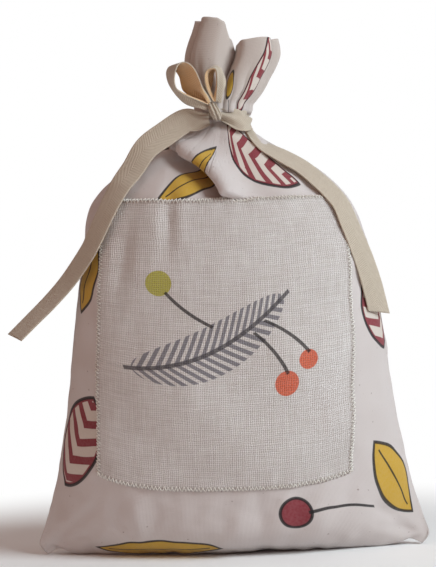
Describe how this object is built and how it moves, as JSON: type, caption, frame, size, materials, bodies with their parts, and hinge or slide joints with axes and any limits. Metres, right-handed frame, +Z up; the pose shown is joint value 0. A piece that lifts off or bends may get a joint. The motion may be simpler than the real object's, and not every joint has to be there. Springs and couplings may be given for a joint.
{
  "type": "pine sachet",
  "caption": "Small cotton bag filled with pine shavings, gathered at the neck and tied with a tape bow, with a sewn canvas patch on its front.",
  "frame": {"origin": "middle of the base of the box round the whole sachet, on the surface it stands on", "axes": "+Z up through the neck, -Y out of the front with the patch, +X to the right of someone facing the front"},
  "size_m": [0.1654, 0.0652, 0.2119],
  "materials": {
    "printed_cotton": "matte",
    "canvas": "matte",
    "twill_tape": "matte",
    "pine_shavings": "matte"
  },
  "bodies": {
    "sachet": {"front_panel": "printed_cotton", "back_panel": "printed_cotton", "patch": "canvas", "pine_shavings": "pine_shavings", "tape_neck_wrap": "twill_tape", "tape_knot": "twill_tape", "tape_strand": "twill_tape"},
    "left_loop": {"tape_loop_left": "twill_tape"},
    "right_loop": {"tape_loop_right": "twill_tape"},
    "left_tail": {"tape_tail_left": "twill_tape"},
    "right_tail": {"tape_tail_right": "twill_tape"}
  },
  "joints": [
    {"name": "left_loop_fold", "type": "hinge", "parent": "sachet", "child": "left_loop", "pos_m": [0.0002, -0.0148, 0.1766], "axis": [0.6853, -0.4833, 0.5448], "range_deg": [0, 25], "stiffness_Nm_per_rad": 0.0004},
    {"name": "right_loop_fold", "type": "hinge", "parent": "sachet", "child": "right_loop", "pos_m": [0.0021, -0.0148, 0.177], "axis": [0.9707, 0.2402, 0], "range_deg": [0, 25], "stiffness_Nm_per_rad": 0.0004},
    {"name": "left_tail_lift", "type": "hinge", "parent": "sachet", "child": "left_tail", "pos_m": [-0.0006, -0.0132, 0.1706], "axis": [-0.6606, 0, 0.7507], "range_deg": [0, 45]},
    {"name": "right_tail_lift", "type": "hinge", "parent": "sachet", "child": "right_tail", "pos_m": [0.0166, -0.0015, 0.1706], "axis": [0, -1, 0], "range_deg": [0, 45]}
  ]
}
